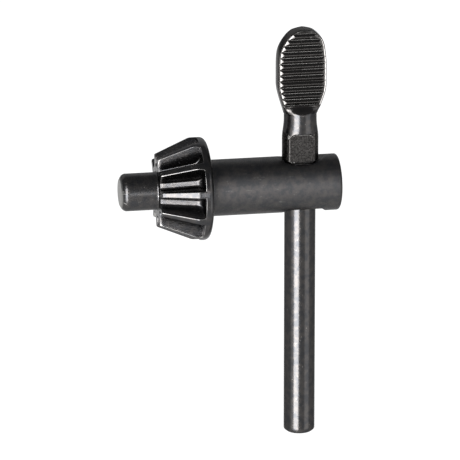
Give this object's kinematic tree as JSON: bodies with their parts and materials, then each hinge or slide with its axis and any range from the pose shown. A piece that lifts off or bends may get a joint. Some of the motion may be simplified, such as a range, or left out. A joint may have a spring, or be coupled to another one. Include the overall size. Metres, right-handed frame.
{
  "type": "drill chuck key",
  "caption": "Key that turns a geared drill chuck: pilot, bevel pinion with flange, round shank and a pressed-in bar with a ribbed thumb pad.",
  "frame": {"origin": "on the shank axis, in the pinion's front face, where the pilot begins", "axes": "-X along the pilot, away from the pinion; +Z along the handle, towards the thumb pad; the pad's ribbed faces look along -Y and +Y"},
  "size_m": [0.0352, 0.0164, 0.0669],
  "materials": {
    "body_steel": "black oxide, satin",
    "handle_steel": "black oxide, semi-gloss"
  },
  "bodies": {
    "root": {"key_body": "body_steel", "thumb_handle": "handle_steel"}
  },
  "joints": []
}
